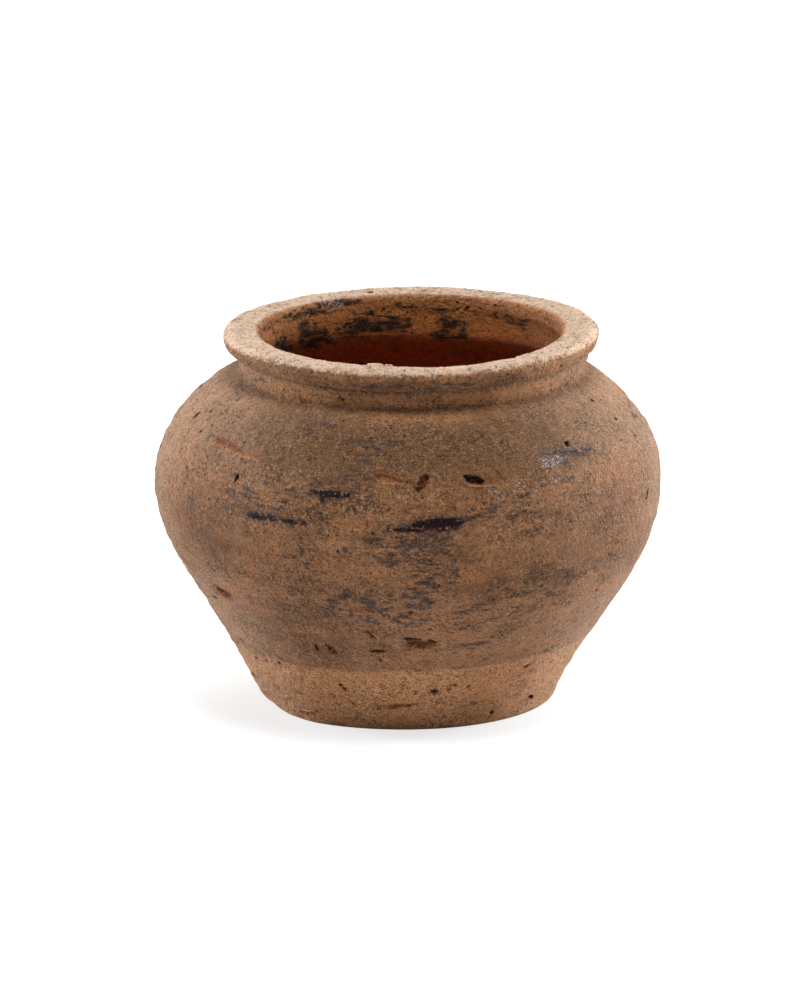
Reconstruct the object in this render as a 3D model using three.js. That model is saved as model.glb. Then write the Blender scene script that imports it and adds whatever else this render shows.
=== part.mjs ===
// A hand-built terracotta flower pot: a round belly, a short neck and a thick rolled rim.
//
// It is built up the way a potter builds it, from six clay sections that stand on each other:
// a base slab with a drain hole, a foot wall, the belly wall, the shoulder that closes it in,
// a neck collar and the rolled rim. Each section carries a V-shaped tongue underneath, which
// sits in a groove in the section below with a thin line of slip between the two.
//
// Millimetres, +Z up. The origin is the middle of the underside.
import * as THREE from "three";

// Heights of the six sections, from the ground up.
const SLAB_THICKNESS = 11;
const FOOT_HEIGHT = 17;
const BELLY_WALL_HEIGHT = 85;
const SHOULDER_HEIGHT = 20;
const COLLAR_HEIGHT = 11.6;
const RIM_HEIGHT = 8.4;

// The outside. A slope or flare is the change in radius for each millimetre of height.
const BASE_RADIUS = 59.5;
const BASE_ROUND = 2.5;
const BASE_FLARE = 0.31;
const BELLY_RADIUS = 102.4;
const BELLY_RISE = 61; // from the foot of the belly wall to its widest point
const SHOULDER_SLOPE = -1.5;
const COLLAR_SPREAD = 4.8; // how far the foot of the collar reaches past the neck groove
const GROOVE_RISE = 4.6; // from the foot of the collar to the bottom of the neck groove
const COLLAR_FLARE = 0.43;

// The walls, from the mouth outwards and from the outside inwards.
const MOUTH_RADIUS = 61.3;
const NECK_WALL = 9.2;
const SHOULDER_WALL = 8.7;
const BELLY_WALL = 8.6;
const FOOT_WALL = 10.4;
const DRAIN_RADIUS = 7;
const DRAIN_ROUND = 1.5;

// The rolled rim.
const RIM_WIDTH = 14.5; // from the mouth to the widest point of the roll
const RIM_OVERHANG = 2.3; // how far the underside runs out level from the collar
const RIM_FACE_ROUND = 4.6; // how far the outer shoulder of the roll reaches in
const RIM_FACE_DROP = 3.4; // how far the widest point lies below the crown
const LIP_ROUND = 3;
const LIP_DROP = 0.7; // how far the inner lip lies below the crown

// The joints between sections.
const KEY_WIDTH = 5;
const KEY_DEPTH = 2;
const SLIP_GAP = 0.4;

// Facets.
const TURN_STEPS = 48;
const WALL_STEP = 8;
const CURVE_STEPS = 4;

// Where each joint lies, and the crown of the rim.
const FOOT_SEAT = SLAB_THICKNESS;
const WALL_SEAT = FOOT_SEAT + FOOT_HEIGHT;
const SHOULDER_SEAT = WALL_SEAT + BELLY_WALL_HEIGHT;
const COLLAR_SEAT = SHOULDER_SEAT + SHOULDER_HEIGHT;
const RIM_SEAT = COLLAR_SEAT + COLLAR_HEIGHT;
const CROWN = RIM_SEAT + RIM_HEIGHT;

const point = (radius, height) => new THREE.Vector2(radius, height);

// A face of the wall, as smooth runs between stations that each give a height, a radius and
// a slope. Each run is a cubic whose handles span a third of its height, so that height grows
// evenly along it.
class WallFace {
  constructor(stations) {
    this.stations = stations;
    this.runs = stations.slice(1).map((high, i) => {
      const low = stations[i];
      const third = (high.height - low.height) / 3;
      return new THREE.CubicBezierCurve(
        point(low.radius, low.height),
        point(low.radius + low.slope * third, low.height + third),
        point(high.radius - high.slope * third, high.height - third),
        point(high.radius, high.height),
      );
    });
  }

  locate(height) {
    const above = this.stations.findIndex((s, i) => i > 0 && height <= s.height);
    const run = above < 0 ? this.runs.length - 1 : above - 1;
    const low = this.stations[run].height;
    const high = this.stations[run + 1].height;
    return [this.runs[run], (height - low) / (high - low)];
  }

  pointAt(height) {
    const [run, share] = this.locate(height);
    return run.getPoint(share);
  }

  tangentAt(height) {
    const [run, share] = this.locate(height);
    return run.getTangent(share);
  }

  slopeAt(height) {
    const tangent = this.tangentAt(height);
    return tangent.x / tangent.y;
  }

  // Points inside a stretch of the face, without its two ends.
  pointsBetween(low, high) {
    const steps = Math.max(CURVE_STEPS, Math.round((high - low) / WALL_STEP));
    return Array.from({ length: steps - 1 }, (_, i) =>
      this.pointAt(low + ((high - low) * (i + 1)) / steps),
    );
  }
}

const bellyHeight = WALL_SEAT + BELLY_RISE;
const neckRadius = MOUTH_RADIUS + NECK_WALL;
const grooveHeight = COLLAR_SEAT + GROOVE_RISE;

// From the groove the collar flares out to the rim, at an even rate of change of slope.
const rimSeatRadius = neckRadius + (COLLAR_FLARE * (RIM_SEAT - grooveHeight)) / 2;
const outside = new WallFace([
  { height: 0, radius: BASE_RADIUS, slope: BASE_FLARE },
  { height: bellyHeight, radius: BELLY_RADIUS, slope: 0 },
  { height: COLLAR_SEAT, radius: neckRadius + COLLAR_SPREAD, slope: SHOULDER_SLOPE },
  { height: grooveHeight, radius: neckRadius, slope: 0 },
  { height: RIM_SEAT, radius: rimSeatRadius, slope: COLLAR_FLARE },
]);

// The inside of the shoulder lies one wall behind its outside, measured square to the wall.
const collarFoot = outside.pointAt(COLLAR_SEAT);
const collarTangent = outside.tangentAt(COLLAR_SEAT);
const innerCollarFoot = collarFoot.add(
  point(-collarTangent.y, collarTangent.x).multiplyScalar(SHOULDER_WALL),
);
const inside = new WallFace([
  {
    height: FOOT_SEAT,
    radius: outside.pointAt(FOOT_SEAT).x - FOOT_WALL,
    slope: outside.slopeAt(FOOT_SEAT),
  },
  { height: bellyHeight, radius: BELLY_RADIUS - BELLY_WALL, slope: 0 },
  { height: innerCollarFoot.y, radius: innerCollarFoot.x, slope: SHOULDER_SLOPE },
  { height: grooveHeight, radius: MOUTH_RADIUS, slope: 0 },
  { height: CROWN, radius: MOUTH_RADIUS, slope: 0 },
]);

// Depth of the wall from a point on the outside, going inward until the inside is met.
function wallDepth(edge, inward) {
  let near = 0;
  let far = edge.x;
  for (let halving = 0; halving < 50; halving++) {
    const depth = (near + far) / 2;
    const probe = edge.clone().addScaledVector(inward, depth);
    const inClay = probe.y < FOOT_SEAT || probe.x > inside.pointAt(probe.y).x;
    if (inClay) near = depth;
    else far = depth;
  }
  return near;
}

// A joint at a height of the outer wall, cut either level or square to the wall.
function jointAt(height, cut) {
  const edge = outside.pointAt(height);
  const along = cut === "square" ? outside.tangentAt(height) : point(0, 1);
  const inward = point(-along.y, along.x);
  const depth = wallDepth(edge, inward);
  const innerHeight = edge.y + inward.y * depth;
  return { height, edge, along, inward, depth, innerHeight };
}

// The face of a joint from the outside to the inside, with its V-shaped key in the middle.
// The section above stands half a slip gap higher, and the one below half a gap lower.
function jointFace(joint, side) {
  const shift = side === "above" ? SLIP_GAP / 2 : -SLIP_GAP / 2;
  const middle = joint.depth / 2;
  const place = (depth, drop) =>
    joint.edge
      .clone()
      .addScaledVector(joint.inward, depth)
      .addScaledVector(joint.along, shift - drop);
  return [
    place(0, 0),
    place(middle - KEY_WIDTH / 2, 0),
    place(middle, KEY_DEPTH),
    place(middle + KEY_WIDTH / 2, 0),
    place(joint.depth, 0),
  ];
}

const footJoint = jointAt(FOOT_SEAT, "level");
const wallJoint = jointAt(WALL_SEAT, "square");
const shoulderJoint = jointAt(SHOULDER_SEAT, "square");
const collarJoint = jointAt(COLLAR_SEAT, "square");
const rimJoint = jointAt(RIM_SEAT, "level");

// An outline runs out along its underside, up the outside, in along its top and down the
// inside. Turning it about the upright axis makes the section.
function turned(outline) {
  const geometry = new THREE.LatheGeometry([...outline, outline[0]], TURN_STEPS);
  return geometry.rotateX(Math.PI / 2);
}

// A length of wall between two joints.
function wallSection(bottom, top) {
  return turned([
    ...jointFace(bottom, "above").reverse(),
    ...outside.pointsBetween(bottom.height, top.height),
    ...jointFace(top, "below"),
    ...inside.pointsBetween(bottom.innerHeight, top.innerHeight).reverse(),
  ]);
}

// The floor of the pot: a beaten slab with a rounded bottom edge and a drain hole in the middle.
function baseSlab() {
  const bottomEdge = new THREE.QuadraticBezierCurve(
    point(BASE_RADIUS - BASE_ROUND, 0),
    point(BASE_RADIUS, 0),
    outside.pointAt(BASE_ROUND),
  );
  return turned([
    point(DRAIN_RADIUS + DRAIN_ROUND, 0),
    ...bottomEdge.getPoints(CURVE_STEPS),
    ...outside.pointsBetween(BASE_ROUND, FOOT_SEAT),
    ...jointFace(footJoint, "below"),
    point(DRAIN_RADIUS + DRAIN_ROUND, FOOT_SEAT - SLIP_GAP / 2),
    point(DRAIN_RADIUS, FOOT_SEAT - SLIP_GAP / 2 - DRAIN_ROUND),
    point(DRAIN_RADIUS, DRAIN_ROUND),
  ]);
}

// The rolled rim: a round underside that overhangs the collar, a round outer face, a nearly flat
// top and a soft inner lip.
function rolledRim() {
  const rimRadius = MOUTH_RADIUS + RIM_WIDTH;
  const widest = CROWN - RIM_FACE_DROP;
  const handle = (widest - RIM_SEAT) / 3;
  const crownRadius = rimRadius - RIM_FACE_ROUND;
  const lipRadius = MOUTH_RADIUS + LIP_ROUND;
  const lipTop = CROWN - LIP_DROP;
  const seat = jointFace(rimJoint, "above");
  const roll = new THREE.Path();
  roll.moveTo(seat[0].x, seat[0].y);
  roll.bezierCurveTo(
    seat[0].x + RIM_OVERHANG,
    seat[0].y,
    rimRadius,
    widest - handle,
    rimRadius,
    widest,
  );
  roll.absellipse(crownRadius, widest, RIM_FACE_ROUND, RIM_FACE_DROP, 0, Math.PI / 2);
  roll.quadraticCurveTo((crownRadius + lipRadius) / 2, CROWN, lipRadius, lipTop);
  roll.absarc(lipRadius, lipTop - LIP_ROUND, LIP_ROUND, Math.PI / 2, Math.PI);
  return turned([...seat.slice(1).reverse(), ...roll.getPoints(CURVE_STEPS)]);
}

const pot = new THREE.Group();

function addSection(name, geometry, colour, roughness) {
  const clay = new THREE.MeshStandardMaterial({ color: colour, roughness, metalness: 0 });
  const section = new THREE.Mesh(geometry, clay);
  section.name = name;
  pot.add(section);
}

const BARE_CLAY = "#9a6b49";
const WEATHERED_CLAY = "#7d5a43";
const WORN_CLAY = "#b08b70";

addSection("base_slab", baseSlab(), BARE_CLAY, 0.95);
addSection("foot_wall", wallSection(footJoint, wallJoint), BARE_CLAY, 0.95);
addSection("belly_wall", wallSection(wallJoint, shoulderJoint), WEATHERED_CLAY, 0.9);
addSection("shoulder_wall", wallSection(shoulderJoint, collarJoint), WEATHERED_CLAY, 0.9);
addSection("neck_collar", wallSection(collarJoint, rimJoint), WEATHERED_CLAY, 0.9);
addSection("rolled_rim", rolledRim(), WORN_CLAY, 0.95);

export default pot;
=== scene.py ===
"""Looks of a weathered terracotta flower pot, modelled around its six packed clay sections."""

import functools
import math
from typing import NamedTuple

import bpy
import numpy as np
from mathutils import Matrix, Vector, kdtree, noise


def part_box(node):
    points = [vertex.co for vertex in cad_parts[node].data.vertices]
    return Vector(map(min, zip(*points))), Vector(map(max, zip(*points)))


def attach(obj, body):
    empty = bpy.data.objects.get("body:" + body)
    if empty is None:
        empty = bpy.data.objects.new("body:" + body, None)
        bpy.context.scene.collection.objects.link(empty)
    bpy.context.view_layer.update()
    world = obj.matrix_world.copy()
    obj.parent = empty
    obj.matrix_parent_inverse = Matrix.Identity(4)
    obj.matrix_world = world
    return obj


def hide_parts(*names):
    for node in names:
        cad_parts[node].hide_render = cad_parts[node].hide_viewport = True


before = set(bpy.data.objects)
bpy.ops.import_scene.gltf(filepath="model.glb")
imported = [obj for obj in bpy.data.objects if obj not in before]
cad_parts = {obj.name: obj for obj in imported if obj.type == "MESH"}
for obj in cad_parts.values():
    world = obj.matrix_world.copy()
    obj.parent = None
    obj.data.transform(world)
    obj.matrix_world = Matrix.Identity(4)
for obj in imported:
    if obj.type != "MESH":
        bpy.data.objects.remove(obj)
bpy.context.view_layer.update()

bl_info = {
    "name": "Weathered terracotta pot",
    "version": (1, 0, 0),
    "blender": (4, 5, 0),
    "location": "View3D > Sidebar > Pot",
    "description": "Models the fired clay sections of a hand-built flower pot and its studio",
    "category": "Add Mesh",
}

# Sizes in this file are millimetres, and Blender works in metres.
MM = 0.001


def highest(node):
    """Height of a section's top, in millimetres."""
    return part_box(node)[1].z / MM


def widest(node):
    """Largest radius of a section, in millimetres."""
    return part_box(node)[1].x / MM


# The wall of the pot


class Station(NamedTuple):
    """A place on a face of the wall: its height, its radius and the slope of the radius there."""

    height: float
    radius: float
    slope: float


CROWN = highest("rolled_rim")
RIM_RADIUS = widest("rolled_rim")
BELLY_RADIUS = widest("belly_wall")
BELLY_HEIGHT = 89
BELLY_WALL = 8.6
BASE_RADIUS = 59.5
BASE_ROUND = 2.5
MOUTH_RADIUS = 61.3
NECK_RADIUS = 70.5
GROOVE_HEIGHT = 137.6
DRAIN_RADIUS = 7
DRAIN_ROUND = 1.5
FLOOR_HEIGHT = 11
RIM_FACE_ROUND = 4.6
RIM_FACE_DROP = 3.4
LIP_ROUND = 2.4
LIP_DROP = 0.7


class Seam(NamedTuple):
    """A joint between two sections: the heights where it meets the outside and the inside."""

    outer: float
    inner: float


FOOT_SEAM = Seam(FLOOR_HEIGHT, FLOOR_HEIGHT)
WALL_SEAM = Seam(28, 33.4)
SHOULDER_SEAM = Seam(113, 107.6)
COLLAR_SEAM = Seam(133, 125.8)
RIM_SEAM = Seam(144.6, 144.6)
RIM_SEAM_RADIUS = 72.0
RIM_OVERHANG = 2.3

OUTSIDE = (
    Station(0, BASE_RADIUS, 0.31),
    Station(BELLY_HEIGHT, BELLY_RADIUS, 0),
    Station(COLLAR_SEAM.outer, 75.3, -1.5),
    Station(GROOVE_HEIGHT, NECK_RADIUS, 0),
    Station(RIM_SEAM.outer, RIM_SEAM_RADIUS, 0.43),
)
INSIDE = (
    Station(FLOOR_HEIGHT, 53.5, 0.48),
    Station(BELLY_HEIGHT, BELLY_RADIUS - BELLY_WALL, 0),
    Station(COLLAR_SEAM.inner, 70.4, -1.5),
    Station(GROOVE_HEIGHT, MOUTH_RADIUS, 0),
    Station(RIM_SEAM.inner, MOUTH_RADIUS, 0),
)


def radius_at(stations, height):
    """Radius of a face of the wall at a height, on cubic runs through its stations."""
    for low, high in zip(stations, stations[1:]):
        if height <= high.height:
            break
    rise = high.height - low.height
    t = (height - low.height) / rise
    start = low.radius * (1 + 2 * t) + low.slope * rise * t
    end = high.radius * (3 - 2 * t) - high.slope * rise * (1 - t)
    return start * (1 - t) ** 2 + end * t**2


def even(line, step):
    """A line of (radius, height) points again, with points an even step apart."""
    line = np.array(line, float)
    length = np.concatenate([[0], np.cumsum(np.linalg.norm(np.diff(line, axis=0), axis=1))])
    count = max(2, round(length[-1] / step) + 1)
    along = np.linspace(0, length[-1], count)
    return np.stack([np.interp(along, length, line[:, axis]) for axis in (0, 1)], axis=1)


def wall_line(stations, low, high, step):
    """A face of the wall between two heights, from the lower one to the higher one."""
    fine = 200
    heights = np.linspace(low, high, fine)
    return even([(radius_at(stations, height), height) for height in heights], step)


def bezier(points, count=40):
    """Points along a Bezier curve of any degree."""
    t = np.linspace(0, 1, count)[:, None, None]
    level = np.repeat(np.array(points, float)[None], count, axis=0)
    while level.shape[1] > 1:
        level = level[:, :-1] * (1 - t) + level[:, 1:] * t
    return level[:, 0]


def arc(centre, radii, start, end, count=30):
    """Points along an elliptical arc, with angles in degrees from the outward direction."""
    turn = np.radians(np.linspace(start, end, count))
    return np.array(centre) + np.array(radii) * np.stack([np.cos(turn), np.sin(turn)], axis=1)


def roll_line(step):
    """The rolled rim from its outer seam, over the crown and the lip, down to its inner seam."""
    face = CROWN - RIM_FACE_DROP
    third = (face - RIM_SEAM.outer) / 3
    crown_radius = RIM_RADIUS - RIM_FACE_ROUND
    lip_radius = MOUTH_RADIUS + LIP_ROUND
    lip_top = CROWN - LIP_DROP
    under = bezier([
        (RIM_SEAM_RADIUS, RIM_SEAM.outer),
        (RIM_SEAM_RADIUS + RIM_OVERHANG, RIM_SEAM.outer),
        (RIM_RADIUS, face - third),
        (RIM_RADIUS, face),
    ])
    outer = arc((crown_radius, face), (RIM_FACE_ROUND, RIM_FACE_DROP), 0, 90)
    middle = (crown_radius + lip_radius) / 2
    top = bezier([(crown_radius, CROWN), (middle, CROWN), (lip_radius, lip_top)])
    lip = arc((lip_radius, lip_top - LIP_ROUND), (LIP_ROUND, LIP_ROUND), 90, 180)
    throat = [(MOUTH_RADIUS, RIM_SEAM.inner)]
    return even(np.concatenate([under, outer[1:], top[1:], lip[1:], throat]), step)


def slab_line(step, hidden_step):
    """The slab from the foot seam inside, over the drain hole, to the foot seam outside."""
    edge = DRAIN_RADIUS + DRAIN_ROUND
    floor = even([(INSIDE[0].radius, FLOOR_HEIGHT), (edge, FLOOR_HEIGHT)], hidden_step)
    drain = [
        (DRAIN_RADIUS, FLOOR_HEIGHT - DRAIN_ROUND),
        (DRAIN_RADIUS, FLOOR_HEIGHT / 2),
        (DRAIN_RADIUS, DRAIN_ROUND),
    ]
    under = even([(edge, 0), (BASE_RADIUS - BASE_ROUND, 0)], hidden_step)
    corner = bezier([
        (BASE_RADIUS - BASE_ROUND, 0),
        (BASE_RADIUS, 0),
        (radius_at(OUTSIDE, BASE_ROUND), BASE_ROUND),
    ])
    wall = wall_line(OUTSIDE, BASE_ROUND, FOOT_SEAM.outer, step)
    return np.concatenate([floor, drain, under, even(corner, step)[1:], wall[1:]])


def section_outline(low, high, step, inner_step):
    """Closed outline of a length of wall between two seams."""
    outer = wall_line(OUTSIDE, low.outer, high.outer, step)
    inner = wall_line(INSIDE, low.inner, high.inner, inner_step)
    return np.concatenate([outer, inner[::-1]])


# Where a mark seen in the photograph lies on the clay

PHOTO_WIDTH = 800
PHOTO_HEIGHT = 1000
FOCAL_PIXELS = 8000
BASE_PIXEL = (408.5, 690.7)
VIEW_ELEVATION = math.radians(15.84)
CAMERA_DISTANCE = 3268


def camera_matrix():
    """Place and turn of the camera that sees the middle of the base at its pixel, in metres."""
    back = Vector((0, -math.cos(VIEW_ELEVATION), math.sin(VIEW_ELEVATION)))
    pan = math.atan((BASE_PIXEL[0] - PHOTO_WIDTH / 2) / FOCAL_PIXELS)
    tilt = math.atan((BASE_PIXEL[1] - PHOTO_HEIGHT / 2) / FOCAL_PIXELS)
    place = Matrix.Translation(back * CAMERA_DISTANCE * MM)
    turn = Matrix.Rotation(math.pi / 2 - VIEW_ELEVATION + tilt, 4, "X")
    return place @ Matrix.Rotation(pan, 4, "Z") @ turn


def clay_at(pixel):
    """The point of the clay sections that a pixel of the photograph shows, in millimetres."""
    camera = camera_matrix()
    across = (pixel[0] - PHOTO_WIDTH / 2) / FOCAL_PIXELS
    up = (PHOTO_HEIGHT / 2 - pixel[1]) / FOCAL_PIXELS
    eye = camera.translation
    sight = (camera.to_3x3() @ Vector((across, up, -1))).normalized()
    hits = [node.ray_cast(eye, sight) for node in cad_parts.values()]
    places = [place for met, place, _, _ in hits if met]
    if not places:
        raise ValueError(f"no clay lies behind pixel {pixel}")
    return np.array(min(places, key=lambda place: (place - eye).length)) / MM


# Each row of these tables is a mark that the photograph shows: its half width in millimetres, its
# amount, which is how deep, high or strong it is, and the pixels that it runs through.

# Holes and slots where grit or a stem burnt out, and gouges from use. Amounts are depths.
PITS = (
    (1.25, 2.0, (567, 444)),
    (0.8, 1.3, (615, 420)),
    (0.75, 1.0, (592, 402)),
    (0.9, 1.3, (634.5, 436.5)),
    (0.65, 0.9, (637, 442)),
    (0.75, 0.9, (648, 489), (647, 498)),
    (0.8, 2.0, (235.5, 481), (238.5, 475)),
    (0.8, 1.4, (192, 418), (198, 413)),
    (0.65, 0.8, (209, 411)),
    (0.65, 0.8, (200, 431)),
    (0.8, 1.3, (213, 596), (216, 598)),
    (1.25, 1.6, (216, 586), (221, 591)),
    (1.35, 2.4, (241.7, 640.6)),
    (0.75, 1.0, (257.8, 658)),
    (0.6, 0.7, (267, 661)),
    (0.6, 0.7, (279.6, 663.3)),
    (0.6, 0.8, (255.5, 674), (258, 678)),
    (0.9, 2.0, (314.5, 645), (317, 650)),
    (1.05, 2.0, (370, 651), (376, 650.5), (383, 651.5)),
    (0.8, 0.9, (379.6, 661)),
    (1.05, 2.0, (341.5, 686.3)),
    (0.95, 2.0, (345.7, 689.5)),
    (1.35, 2.2, (432.5, 692.3), (437, 692)),
    (1.0, 2.4, (529, 696.2), (532, 697.8)),
    (0.7, 1.6, (491.4, 712.2), (493.6, 713.2)),
    (0.65, 1.0, (468, 686.5)),
    (0.6, 0.8, (455, 685)),
    (1.0, 2.4, (465.5, 476.5), (473, 478), (483, 481.5)),
    (0.9, 1.5, (428, 640.5)),
    (0.9, 1.5, (432.5, 643)),
    (0.9, 1.8, (402, 638), (411, 641.5), (419, 640)),
    (0.75, 0.9, (593.6, 589.6)),
    (0.65, 0.8, (604, 594)),
    (0.6, 0.7, (569.8, 655.6)),
    (0.65, 0.8, (574, 646.5)),
    (0.6, 0.7, (374, 533.5)),
    (0.5, 0.6, (570.5, 521.4)),
    (0.5, 0.6, (570.5, 530)),
    (1.2, 0.8, (367.4, 291.4)),
    (0.65, 0.8, (334, 395)),
    (0.65, 0.8, (337.5, 398)),
)

# Scars that broke through to the red clay under the weathered skin. Amounts are depths.
SCARS = (
    (2.1, 2.2, (418, 491), (426.5, 477)),
    (1.25, 0.5, (375, 475), (388, 477.5), (401, 481.5)),
    (1.1, 1.6, (467, 480), (474, 482.5), (482, 484)),
    (0.8, 0.45, (496, 470), (499, 476), (504, 480)),
    (2.3, 1.3, (218, 590), (225, 592), (230, 596)),
    (2.1, 1.3, (326, 646), (329, 650), (335, 652)),
    (1.0, 1.1, (365, 631), (373, 638)),
    (0.8, 0.9, (522, 667), (529, 664.5)),
    (1.0, 1.4, (409.3, 612.8)),
    (2.6, 1.2, (408, 644), (418, 645.5), (430, 644)),
    (0.9, 0.4, (355, 609), (370, 608.5)),
    (0.9, 0.4, (458, 629), (467, 625.5)),
    (1.0, 0.5, (372, 706.5), (395, 706.5), (420, 703.3)),
    (0.6, 0.4, (305, 711.5), (319, 713)),
    (1.3, 0.4, (216, 438), (228, 443.5), (240, 450.5)),
)

# Pressed-out lines of clay along the shoulder seam and beside gouges. Amounts are heights.
RIDGES = (
    (0.7, 0.9, (374, 479.5), (394, 483.5), (411, 486)),
    (0.6, 0.7, (414, 492.5), (421, 494), (430, 491), (446, 488.8), (464, 487.8)),
    (0.9, 0.7, (206, 438), (218, 443), (240, 453.5), (264, 461)),
    (1.5, 0.9, (525, 481), (560, 470), (596, 457)),
    (1.5, 1.6, (365, 364.8), (371, 364.6), (377, 364.7)),
    (1.0, 1.1, (383, 364.8), (389, 365.2)),
    (0.7, 0.9, (464, 485), (473, 486.5), (484, 486.5), (498, 486)),
    (1.6, 0.7, (246, 374), (262, 384), (280, 393), (296, 401)),
)

# What is left of a dark glaze. An amount of 1 is whole, and less is broken up.
GLAZE_REMAINS = (
    (2.0, 1.4, (414, 525), (426, 523.5), (440, 522.5), (462, 522)),
    (1.8, 1.0, (388, 529), (415, 530), (440, 530), (458, 528)),
    (0.9, 0.9, (386, 528.5), (400, 529)),
    (2.2, 0.62, (408, 541), (430, 539), (450, 537)),
    (2.4, 0.5, (400, 551), (425, 548), (445, 546)),
    (2.0, 1.2, (250, 515), (262, 517), (277, 519)),
    (1.4, 1.2, (281, 520), (296, 522), (306, 523.5)),
    (1.6, 1.2, (313, 491), (325, 494), (350, 495.5)),
    (1.3, 1.0, (321, 494), (324, 502)),
    (3.8, 0.52, (356, 489), (362, 496), (366, 503)),
    (0.8, 0.6, (354, 513), (362, 513)),
    (0.8, 0.8, (333, 477.5), (356, 478)),
    (0.7, 0.7, (365, 478), (372, 478)),
    (0.9, 0.75, (346, 442.3), (360, 442), (372, 441.5)),
    (1.0, 0.65, (388, 445.5), (398, 445.5)),
    (1.0, 0.7, (368, 463)),
    (1.0, 0.6, (351.5, 469)),
    (1.2, 0.6, (406.6, 467)),
    (2.1, 0.9, (543, 455), (555, 451.5), (572, 453), (591, 448.5)),
    (1.9, 0.65, (547, 462), (566, 460)),
    (0.9, 0.6, (549, 480), (558, 480), (571, 478)),
    (1.2, 0.9, (519, 497), (527, 494)),
    (1.3, 0.85, (472.5, 509.4)),
    (1.3, 0.85, (492, 508.5)),
    (1.2, 0.7, (512.8, 512)),
    (1.2, 0.7, (470.6, 523)),
    (1.1, 0.6, (484.4, 523)),
    (1.2, 0.6, (486, 491), (505, 496)),
    (0.9, 0.75, (303.3, 536), (303, 555)),
    (0.8, 0.6, (284, 555.5), (298, 555.5)),
    (1.3, 0.75, (307.6, 565)),
    (1.6, 0.75, (234.4, 494.7)),
    (1.4, 0.7, (224, 507), (228, 511)),
    (1.8, 0.5, (193, 503)),
    (1.0, 0.6, (248, 478)),
    (1.3, 0.7, (265.4, 481)),
    (1.7, 0.6, (348, 551.5)),
    (1.0, 0.7, (379, 560), (400, 560.5), (419, 559)),
    (2.1, 0.9, (326, 611.4)),
    (1.6, 0.8, (348.7, 591)),
    (1.2, 0.8, (362, 600), (372, 601)),
    (1.5, 0.75, (350, 614)),
    (1.5, 0.8, (359, 620), (374, 620)),
    (1.1, 0.85, (383, 613.5), (392, 618), (402, 624.5)),
    (1.2, 0.65, (403, 595), (420, 595)),
    (1.4, 0.7, (408, 604), (428, 605)),
    (1.0, 0.7, (402, 624), (428, 619)),
    (1.1, 0.6, (335, 598), (345, 600)),
)

# Dark stains that were wiped round inside the mouth. Amounts are strengths.
STAINS = (
    (4.6, 1.1, (299, 326), (306, 334), (314, 341)),
    (2.6, 1.15, (312, 336), (330, 333), (352, 328), (378, 325), (402, 324)),
    (1.8, 0.7, (320, 326), (338, 322)),
    (3.6, 0.9, (434, 330), (446, 326), (460, 330)),
    (2.2, 0.6, (284, 317), (300, 313), (320, 307)),
    (1.4, 0.7, (312, 303), (335, 301), (358, 299)),
    (1.9, 0.9, (272, 342), (281, 344.5), (290, 346)),
    (2.0, 0.5, (484, 320), (505, 316), (526, 322)),
    (1.6, 0.6, (513, 335), (524, 338)),
    (1.6, 0.45, (350, 312), (400, 307), (450, 308)),
)

# Grey smears of old soot and worn glaze. Amounts are strengths.
SMEARS = (
    (4.2, 0.4, (455, 612), (490, 600), (530, 588), (570, 575), (598, 566)),
    (4, 0.2, (500, 612), (560, 592)),
    (2.4, 0.45, (436, 651), (470, 645), (489, 638)),
    (5, 0.3, (463, 523), (500, 514), (530, 506)),
    (8, 0.25, (230, 500), (300, 490), (360, 480)),
    (10, 0.4, (380, 545), (440, 560), (420, 600)),
    (9, 0.4, (330, 600), (400, 612)),
    (12, 0.2, (300, 430), (380, 445), (470, 440)),
    (2.5, 0.45, (366, 384), (415, 386), (470, 384)),
    (4, 0.2, (505, 690), (520, 686)),
    (4, 0.2, (455, 703), (475, 706)),
    (5, 0.2, (225, 380), (260, 372)),
)

# Scuffs down to bright orange clay. Amounts are strengths.
SCUFFS = (
    (1.1, 0.8, (562, 583), (582, 577), (602, 571)),
    (1.1, 0.7, (590, 588), (617, 581)),
    (2.6, 0.9, (233, 588), (241, 598)),
    (0.5, 1.0, (210, 442), (240, 455), (262, 462)),
    (0.42, 1.2, (376, 481), (394, 484), (411, 486)),
    (0.38, 1.2, (414, 493), (421, 494.3), (430, 491), (446, 488.8), (464, 487.8)),
    (0.38, 1.2, (464, 484), (473, 486.3), (484, 486.3), (498, 485.5)),
    (1.2, 0.6, (258, 660), (290, 666), (318, 671)),
    (1.3, 0.6, (363.5, 519)),
)

# Painted highlights on glassy specks of glaze. Amounts are strengths.
PAINTED_GLINTS = (
    (2.4, 0.24, (543, 460), (550, 464), (560, 457)),
    (1.6, 0.22, (545, 468)),
    (1.2, 0.22, (511, 485), (523, 486)),
    (1.2, 0.2, (491, 490.4)),
    (1.2, 0.24, (500, 496.5)),
    (1.0, 0.2, (548, 480), (560, 480)),
    (0.9, 0.22, (289.5, 472.3)),
    (0.8, 0.16, (315, 475), (324, 475.5)),
    (1.5, 0.22, (320, 302), (339, 304)),
)


# Modelling

# A long mark's ends are narrower than its middle by this share.
TAPER = 0.35
# How much of the raggedness of other marks the edges of pits have.
PIT_RAGGEDNESS = 0.85
# The longest step between the pixels of a mark that are carried to the clay.
PIXEL_STEP = 12
# Keeps a length of zero out of a division.
TINY = 1e-9
# Angles and heights of the side that the photograph doesn't show, and how steep marks lie there.
BACK_ANGLES = (85, 275)
BACK_HEIGHTS = (16, 128)
BACK_SLANT = 0.15


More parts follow.
